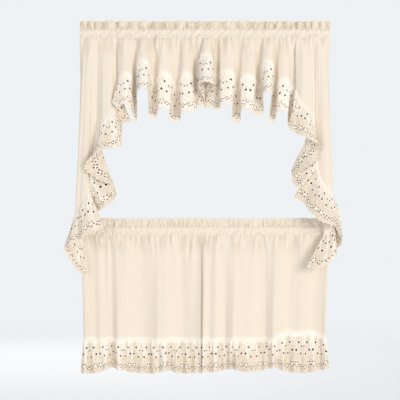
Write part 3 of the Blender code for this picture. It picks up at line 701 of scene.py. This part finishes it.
def eyeletPlaces():
    # every hole of the repeat as x, y, radius, radius of its rim
    holes = [(x, t * repeat["depth"], r, rim) for x, t, r, rim in repeat["eyelets"]]
    flowers = zip(*(repeat[part] for part in ("flowers", "petals", "petalReach", "petalTurn")))
    for (middle, t), petals, reach, turn in flowers:
        for petal in range(petals):
            angle = 2 * math.pi * (petal + turn) / petals
            x = middle + reach * math.cos(angle)
            y = t * repeat["depth"] + reach * math.sin(angle)
            holes.append((x, y, repeat["petalHole"], repeat["petalRim"]))
    return holes


def hemAt(x):
    scallop = np.abs(np.sin(np.pi * x * repeat["scallops"] / repeat["width"]))
    return repeat["depth"] - repeat["scallopDepth"] * (1 - scallop)


def repeatLines(holes):
    # the points and edges that the repeat's triangles are made between
    width, depth = repeat["width"], repeat["depth"]
    rows = int(depth / repeat["gridStep"]) + 1
    down = np.linspace(0, depth - repeat["scallopDepth"] - repeat["hemRoom"], rows)
    across = np.linspace(0, width, int(width / repeat["gridStep"]) + 1)
    hemX = np.linspace(0, width, int(width / repeat["hemStep"]) + 1)
    points = []
    for y in down:
        for x in across:
            spare = (math.hypot(x - hx, y - hy) - rim for hx, hy, r, rim in holes)
            if x in (0, width) or all(gap > repeat["rimRoom"] for gap in spare):
                points.append((x, y))
    first = len(points)
    points += [(x, float(hemAt(x))) for x in hemX]
    edges = [(first + k, first + k + 1) for k in range(len(hemX) - 1)]
    for hx, hy, r, rim in holes:
        big = rim > repeat["bigRim"]
        sides = repeat["sides"][big]
        rings = [r, rim * repeat["rimShade"], rim]
        if big:
            rings.append(rim + repeat["cordWidth"])
        turns = np.arange(sides) * 2 * np.pi / sides
        for ring in rings:
            first = len(points)
            points += [(hx + ring * math.cos(a), hy + ring * math.sin(a)) for a in turns]
            edges += [(first + k, first + (k + 1) % sides) for k in range(sides)]
    return points, edges


def makeRepeat():
    # flat points, triangles, and how far each point lies outside the nearest rim
    holes = eyeletPlaces()
    points, edges = repeatLines(holes)
    made = delaunay_2d_cdt([Vector(p) for p in points], edges, [], 0, repeat["joinWithin"])
    flat = np.array([tuple(v) for v in made[0]])
    faces = np.array([face for face in made[2]])
    middle = flat[faces].mean(axis=1)
    keep = middle[:, 1] < hemAt(middle[:, 0])
    away = np.full(len(flat), np.inf)
    for hx, hy, r, rim in holes:
        keep &= np.hypot(middle[:, 0] - hx, middle[:, 1] - hy) > r * repeat["holeShare"]
        away = np.minimum(away, np.hypot(flat[:, 0] - hx, flat[:, 1] - hy) - rim)
    faces = faces[keep]
    # all wound the same way
    a, b, c = (flat[faces[:, k]] for k in range(3))
    ab, ac = b - a, c - a
    turned = ab[:, 0] * ac[:, 1] - ab[:, 1] * ac[:, 0] > 0
    faces[turned] = faces[turned][:, ::-1]
    return flat, faces, away


def ruffleStrip(count):
    # the repeats side by side, every other one turned over, joined at their edges
    flat, faces, away = makeRepeat()
    width = repeat["width"]
    edges = []
    for side in (0, width):
        edges.append([k for k in np.argsort(flat[:, 1])
                      if abs(flat[k, 0] - side) < repeat["joinWithin"]])
    places, rims, triangles = [], [], []
    before = None
    total = 0
    for tile in range(count):
        turned = tile % 2
        left, right = edges[::-1] if turned else edges
        shape = np.stack([width - flat[:, 0], flat[:, 1]], axis=1) if turned else flat
        joined = set(left) if tile else set()
        others = [k for k in range(len(flat)) if k not in joined]
        table = np.zeros(len(flat), int)
        table[others] = total + np.arange(len(others))
        if tile:
            table[left] = before
        places.append(shape[others] + (tile * width, 0))
        rims.append(away[others])
        triangles.append(table[faces[:, ::-1] if turned else faces])
        total += len(others)
        before = table[right]
    return np.concatenate(places), np.concatenate(triangles), np.concatenate(rims)


def behindMeanLine(cloth, u):
    # how far the ruffle hangs behind its own mean line, more in a hollow and less than 0 on a crest
    steps = np.arange(0, cloth["knots"][-1], repeat["gridStep"])
    level = np.full(len(steps), ruffleGathers["hollowPlace"])
    line = rufflePoints(cloth, steps, level)[:, 1]
    window = int(ruffleGathers["hollowWindow"] / repeat["gridStep"])
    evenly = np.ones(2 * window + 1) / (2 * window + 1)
    smooth = np.convolve(np.pad(line, window, mode="edge"), evenly, "valid")
    return np.interp(u, steps, smooth - line)


def flowerMiddles(flat):
    # 1 on the stitched middle of each flower
    across = flat[:, 0] % repeat["width"]
    turned = flat[:, 0] // repeat["width"] % 2 == 1
    across = np.where(turned, repeat["width"] - across, across)
    white = np.zeros(len(flat))
    for x, place in repeat["flowers"]:
        near = np.hypot(across - x, flat[:, 1] - place * repeat["depth"])
        white = np.maximum(white, softStep(near, *ruffleGathers["flowerWhite"]))
    return white


def ruffleMasks(flat, t, away, toHem, push, behind, kind):
    g = ruffleGathers
    fullness = kind["fullness"]
    # painted shade inside each eyelet's rim
    dark = (away < -g["rimInside"]).astype(float)
    stitched = 1 - softStep(toHem, 0, g["stitchWidth"])
    worked = softStep(t, *g["plainTop"])
    # painted shade in the hollows: behind the cloth's mean line, and between two gathers
    hollow = softStep(behind * fullness, *g["hollowShadeDepth"])
    between = 1 - softStep(push / fullness, *g["gatherShadeDepth"])
    hollow = np.maximum(hollow, between) * min(fullness, 1)
    # a painted highlight right under the seam where the cloth swells out, and down the crests of
    # deep flutes
    white = softStep(t, *g["highlightTop"]) * softStep(-behind, *g["highlightSwell"]) * kind["seamHighlight"]
    crest = softStep(-behind, *g["crestSwell"]) * g["crestHighlight"] * kind["seamHighlight"]
    # the cord round each large hole and the stitched middle of each flower are white as well
    cord = softStep(np.abs(away - repeat["cordWidth"]), *g["cordWhite"])
    white = np.max([white, crest, cord, flowerMiddles(flat)], axis=0)
    return [
        ("eyeletShade", dark), ("hemStitch", stitched), ("worked", worked),
        ("hollow", hollow * worked), ("white", white),
    ]


def makeRuffle(name, cloth, kind, seed):
    # the cut strip laid on the ruffle's folds, pushed out by its gathers and raised stitches
    g = ruffleGathers
    length = cloth["knots"][-1]
    count = int(round(length / repeat["width"]))
    flat, faces, away = ruffleStrip(count)
    u = flat[:, 0] / (count * repeat["width"]) * length
    t = flat[:, 1] / repeat["depth"]
    points = rufflePoints(cloth, u, t)
    seam = gathers(u, flat[:, 1], g["seam"], seed + drawSeeds["ruffle"], (0, length))
    push = seam * kind["fullness"] * softStep(t, 0, g["seamHold"])
    push += gatherWave(u, g["hemPitch"], seed) * g["hemDepth"] * t * t
    roll = np.exp(-((t - g["rollPlace"]) / g["rollWidth"]) ** 2)
    push += g["topRoll"] * roll * softStep(t, 0, g["rollPlace"])
    rim = np.exp(-((away - g["rimPlace"]) / g["rimPlace"]) ** 2) * g["rimHeight"]
    toHem = hemAt(flat[:, 0]) - flat[:, 1]
    hemEdge = np.exp(-((toHem - g["hemPlace"]) / g["hemWidth"]) ** 2) * g["rimHeight"]
    behind = behindMeanLine(cloth, u)
    masks = ruffleMasks(flat, t, away, toHem, push, behind, kind)
    thing = makeSheet(name, points, faces.tolist(), flat, masks)
    pushOut(thing, push + rim + hemEdge)
    thicken(thing, g["thickness"])
    print("ruffle", name, "repeats", count, "triangles", len(thing.data.polygons))
    return thing


# cloth materials
clothLook = {
    "cream": (0.818, 0.728, 0.615, 1.0),
    "creamDeep": (0.75, 0.65, 0.53, 1.0),       # the thicker threads
    "lace": (0.915, 0.84, 0.745, 1.0),
    # the white of the stitched cords and flower middles, and the painted highlight along the seam
    # and crests
    "laceWhiteAndHighlight": (0.95, 0.895, 0.81, 1.0),
    # painted shade in the creases and on the header's notches
    "creamCreaseShade": (0.60, 0.49, 0.36, 1.0),
    # painted shade in the ruffle's hollows
    "laceHollowShade": (0.70, 0.585, 0.445, 1.0),
    "laceThread": (0.56, 0.43, 0.28, 1.0),
    "hemThread": (0.84, 0.76, 0.65, 1.0),
    # painted shade inside each eyelet's rim, standing in for the dark seen through a hole
    "eyeletShade": (0.055, 0.028, 0.011, 1.0),
    "roughness": 0.88,
    "sheen": 0.08,
    "sheenRoughness": 0.5,
    "gloss": 0.1,
    "weaveScale": 1200.0,
    "weaveWaver": 0.6,
    "weaveDepth": 0.00012,
    "weaveStrength": 0.35,
    "slubDetail": 3.0,
    "slubStretch": (60.0, 260.0, 1.0),
    "slubSpread": (0.45, 0.8),      # the noise between these is where the threads get thicker
    "slubTone": 0.35,
    "sprigScale": 165.0,
    "sprigSize": (0.18, 0.3),
    "sprigTone": 0.85,
    # how strong the painted shade in hollows and creases, and the painted highlight along the seam,
    # are
    "hollowShadeTone": 0.66,
    "creaseShadeTone": 0.76,
    "seamLight": 0.75,
}


def setInputs(node, values):
    for socket, value in values.items():
        node.inputs[socket].default_value = value


def addNode(nodes, kind, values=(), **settings):
    # a shader node with its settings, and then the values of its sockets
    node = nodes.new("ShaderNode" + kind)
    for title, setting in settings.items():
        setattr(node, title, setting)
    setInputs(node, dict(values))
    return node


def weaveGroup():
    group = bpy.data.node_groups.new("cloth weave", "ShaderNodeTree")
    for title, side in (("Scale", "INPUT"), ("Height", "OUTPUT"), ("Slub", "OUTPUT")):
        group.interface.new_socket(title, in_out=side, socket_type="NodeSocketFloat")
    nodes, links = group.nodes, group.links
    start = nodes.new("NodeGroupInput")
    end = nodes.new("NodeGroupOutput")
    where = addNode(nodes, "UVMap", uv_map="cloth")
    scaled = addNode(nodes, "VectorMath", operation="SCALE")
    links.new(where.outputs["UV"], scaled.inputs[0])
    links.new(start.outputs["Scale"], scaled.inputs["Scale"])
    weave = addNode(nodes, "Math", operation="MULTIPLY")
    waver = {"Scale": 1.0, "Distortion": clothLook["weaveWaver"]}
    for k, direction in enumerate("XY"):
        threads = addNode(nodes, "TexWave", waver, wave_type="BANDS", bands_direction=direction)
        links.new(scaled.outputs["Vector"], threads.inputs["Vector"])
        links.new(threads.outputs["Fac"], weave.inputs[k])
    links.new(weave.outputs["Value"], end.inputs["Height"])
    stretched = addNode(nodes, "VectorMath", {1: clothLook["slubStretch"]}, operation="MULTIPLY")
    slub = addNode(nodes, "TexNoise", {"Scale": 1.0, "Detail": clothLook["slubDetail"]})
    links.new(where.outputs["UV"], stretched.inputs[0])
    links.new(stretched.outputs["Vector"], slub.inputs["Vector"])
    links.new(slub.outputs["Fac"], end.inputs["Slub"])
    return group


def layOver(material, under, colour, title, strength=1.0, spots=None):
    # lays one colour over another where the point attribute called title says so
    nodes, links = material.node_tree.nodes, material.node_tree.links
    where = addNode(nodes, "Attribute", attribute_name=title)
    share = addNode(nodes, "Math", {1: strength}, operation="MULTIPLY")
    links.new(where.outputs["Fac"], share.inputs[0])
    if spots:
        links.new(spots, share.inputs[1])
    mix = addNode(nodes, "Mix", {"B": colour}, data_type="RGBA")
    links.new(under, mix.inputs["A"])
    links.new(share.outputs["Value"], mix.inputs["Factor"])
    return mix.outputs["Result"]


def clothGround(name, colour, deep, weave):
    # woven cotton: threads of two tones, with the weave as fine bump
    look = clothLook
    material = bpy.data.materials.new(name)
    material.use_nodes = True
    nodes, links = material.node_tree.nodes, material.node_tree.links
    shader = nodes["Principled BSDF"]
    setInputs(shader, {
        "Roughness": look["roughness"],
        "Sheen Weight": look["sheen"],
        "Sheen Roughness": look["sheenRoughness"],
        "Specular IOR Level": look["gloss"],
    })
    threads = nodes.new("ShaderNodeGroup")
    threads.node_tree = weave
    setInputs(threads, {"Scale": look["weaveScale"]})
    low, high = look["slubSpread"]
    thicker = {"From Min": low, "From Max": high, "To Max": look["slubTone"]}
    spread = addNode(nodes, "MapRange", thicker)
    links.new(threads.outputs["Slub"], spread.inputs["Value"])
    tone = addNode(nodes, "Mix", {"A": colour, "B": deep}, data_type="RGBA")
    links.new(spread.outputs["Result"], tone.inputs["Factor"])
    raised = {"Strength": look["weaveStrength"], "Distance": look["weaveDepth"]}
    bump = addNode(nodes, "Bump", raised)
    links.new(threads.outputs["Height"], bump.inputs["Height"])
    links.new(bump.outputs["Normal"], shader.inputs["Normal"])
    return material, tone.outputs["Result"], shader


def plainMaterial(name, weave):
    # painted shade in the creases, and a painted highlight along the gathered seam
    look = clothLook
    material, colour, shader = clothGround(name, look["cream"], look["creamDeep"], weave)
    colour = layOver(material, colour, look["creamCreaseShade"], "crease", look["creaseShadeTone"])
    colour = layOver(material, colour, look["laceWhiteAndHighlight"], "white", look["seamLight"])
    material.node_tree.links.new(colour, shader.inputs["Base Color"])
    return material


def laceMaterial(name, weave):
    # the ground is dotted with small stitched sprigs, the scallops have a stitched edge, each
    # eyelet has painted shade inside its rim, the hollows have painted shade, and the seam and the
    # crests a painted highlight
    look = clothLook
    material, colour, shader = clothGround(name, look["lace"], look["cream"], weave)
    nodes, links = material.node_tree.nodes, material.node_tree.links
    where = addNode(nodes, "UVMap", uv_map="cloth")
    sprigs = addNode(nodes, "TexVoronoi", {"Scale": look["sprigScale"]})
    links.new(where.outputs["UV"], sprigs.inputs["Vector"])
    inner, outer = look["sprigSize"]
    fall = {"From Min": inner, "From Max": outer, "To Min": look["sprigTone"], "To Max": 0.0}
    spot = addNode(nodes, "MapRange", fall)
    links.new(sprigs.outputs["Distance"], spot.inputs["Value"])
    spots = spot.outputs["Result"]
    colour = layOver(material, colour, look["laceHollowShade"], "hollow", look["hollowShadeTone"])
    colour = layOver(material, colour, look["laceWhiteAndHighlight"], "white")
    colour = layOver(material, colour, look["laceThread"], "worked", spots=spots)
    colour = layOver(material, colour, look["hemThread"], "hemStitch")
    colour = layOver(material, colour, look["eyeletShade"], "eyeletShade")
    links.new(colour, shader.inputs["Base Color"])
    return material


weave = weaveGroup()
plainLook = plainMaterial("cream cotton", weave)
laceLook = laceMaterial("cream eyelet cotton", weave)


# the five curtains
def dress(thing, node, look):
    thing.data.materials.clear()
    thing.data.materials.append(look)
    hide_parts(node)
    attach(thing, "root")


kinds = {
    # width of the plain cloth's mesh cells, how deep its long folds are, how full the ruffle's
    # gathers are, and how strong the painted highlight along the gathered seam is
    "swag": {
        "hang": swagCloth, "rod": "upper", "step": 3.6, "softness": 0.8, "fullness": 1.05,
        "seamHighlight": 0.45,
    },
    "valance": {
        "hang": valanceCloth, "rod": "upper", "step": 2.7, "softness": 0.75, "fullness": 0.55,
        "seamHighlight": 1.0,
    },
    "tier": {
        "hang": tierCloth, "rod": "lower", "step": 1.9, "softness": 1.0, "fullness": 1.4,
        "seamHighlight": 1.0,
    },
}
curtains = {
    # cut is the plain cloth's flat width and length in metres; a swag's is slanted, so its area
    # is given as well
    "swag_left": {
        "kind": "swag", "lines": leftSwag, "seed": 1, "cut": (0.19, 0.80), "area": 0.09,
    },
    "valance": {"kind": "valance", "lines": valance, "seed": 2, "cut": (0.95, 0.17)},
    "swag_right": {
        "kind": "swag", "lines": rightSwag, "seed": 3, "cut": (0.18, 0.77), "area": 0.08,
    },
    "tier_left": {"kind": "tier", "lines": leftTier, "seed": 4, "cut": (0.52, 0.41)},
    "tier_right": {"kind": "tier", "lines": rightTier, "seed": 5, "cut": (0.55, 0.41)},
}
for name, curtain in curtains.items():
    kind = kinds[curtain["kind"]]
    rod = rods[kind["rod"]]
    seed = curtain["seed"]
    ends = curtain["lines"]["ends"]
    cloth = kind["hang"](curtain["lines"])
    body = makeBody(name + "_cloth", cloth, ends, kind, rod["crispness"], seed)
    dress(body, name + "_panel", plainLook)
    header = makeHeading(name + "_header", ends, rod, seed)
    dress(header, name + "_heading", plainLook)
    ruffle = makeRuffle(name + "_lace", cloth, kind, seed)
    dress(ruffle, name + "_ruffle", laceLook)
print("curtains hung")


# floor, light and camera
studio = {
    "floorDrop": 1.62,
    "floorSize": 14.0,
    "floorFade": (1.5, 6.5),    # from here outwards the floor fades into the backdrop
    "floorColour": (0.82, 0.83, 0.845, 1.0),
    "floorRoughness": 0.9,
    "floorGlow": 0.26,
    "skyColour": (0.90, 0.93, 0.96, 1.0),
    "skyStrength": 0.57,
    "backdrop": (0.86, 0.885, 0.91, 1.0),
    # place, size, power, colour
    "key": ((5.1, -7.35, 0.6), 3.6, 380.0, (1.0, 0.967, 0.914)),
    "fill": ((-3.4, -5.0, -0.6), 3.0, 66.0, (1.0, 0.97, 0.94)),
    "back": ((-1.5, 4.6, 0.9), 2.5, 55.0, (1.0, 0.97, 0.94)),
    "middle": (-0.01935, 0.0, -0.6424),     # what the camera and the lamps are aimed at
    "frameWidth": 1.548,        # how wide the view is there
    "lens": 135.0,
    "sensor": 36.0,
}


def mixShaders(nodes, links, share, first, second, output):
    either = nodes.new("ShaderNodeMixShader")
    links.new(share, either.inputs["Fac"])
    links.new(first, either.inputs[1])
    links.new(second, either.inputs[2])
    links.new(either.outputs["Shader"], nodes[output].inputs["Surface"])


def makeFloor():
    x, y = studio["middle"][:2]
    place = (x, y, -studio["floorDrop"])
    bpy.ops.object.select_all(action="DESELECT")
    bpy.ops.mesh.primitive_plane_add(size=studio["floorSize"], location=place)
    floor = bpy.context.active_object
    floor.name = "studio_floor"
    pale = bpy.data.materials.new("pale floor")
    pale.use_nodes = True
    nodes, links = pale.node_tree.nodes, pale.node_tree.links
    shader = nodes["Principled BSDF"]
    setInputs(shader, {
        "Base Color": studio["floorColour"],
        "Roughness": studio["floorRoughness"],
        "Emission Color": studio["floorColour"],
        "Emission Strength": studio["floorGlow"],
    })
    where = addNode(nodes, "TexCoord")
    outwards = addNode(nodes, "VectorMath", operation="LENGTH")
    links.new(where.outputs["Object"], outwards.inputs[0])
    near, far = studio["floorFade"]
    reach = {"From Min": near, "From Max": far}
    fade = addNode(nodes, "MapRange", reach, interpolation_type="SMOOTHSTEP")
    links.new(outwards.outputs["Value"], fade.inputs["Value"])
    glow = addNode(nodes, "Emission", {"Color": studio["backdrop"]})
    mixShaders(nodes, links, fade.outputs["Result"], shader.outputs["BSDF"],
               glow.outputs["Emission"], "Material Output")
    floor.data.materials.append(pale)


def makeBackdrop():
    # the camera sees the plain backdrop, and the sky lights the cloth
    world = bpy.data.worlds.new("studio")
    world.use_nodes = True
    nodes, links = world.node_tree.nodes, world.node_tree.links
    sky = nodes["Background"]
    setInputs(sky, {"Color": studio["skyColour"], "Strength": studio["skyStrength"]})
    backdrop = addNode(nodes, "Background", {"Color": studio["backdrop"]})
    seen = addNode(nodes, "LightPath")
    mixShaders(nodes, links, seen.outputs["Is Camera Ray"], sky.outputs["Background"],
               backdrop.outputs["Background"], "World Output")
    scene.world = world


def makeLamp(name):
    place, size, power, colour = studio[name]
    lamp = bpy.data.lights.new(name, "AREA")
    lamp.size = size
    lamp.energy = power
    lamp.color = colour
    holder = bpy.data.objects.new(name, lamp)
    holder.location = place
    aim = Vector(studio["middle"]) - Vector(place)
    holder.rotation_euler = aim.to_track_quat("-Z", "Y").to_euler()
    scene.collection.objects.link(holder)


def makeCamera():
    # level with the middle of the set and straight on to it
    lens = bpy.data.cameras.new("camera")
    lens.lens = studio["lens"]
    lens.sensor_width = studio["sensor"]
    camera = bpy.data.objects.new("camera", lens)
    x, y, z = studio["middle"]
    away = studio["frameWidth"] * studio["lens"] / studio["sensor"]
    camera.location = (x, y - away, z)
    camera.rotation_euler = (math.pi / 2, 0, 0)
    scene.collection.objects.link(camera)
    scene.camera = camera


makeFloor()
makeBackdrop()
for name in ("key", "fill", "back"):
    makeLamp(name)
makeCamera()
scene.view_settings.view_transform = "Standard"
print("studio lit")
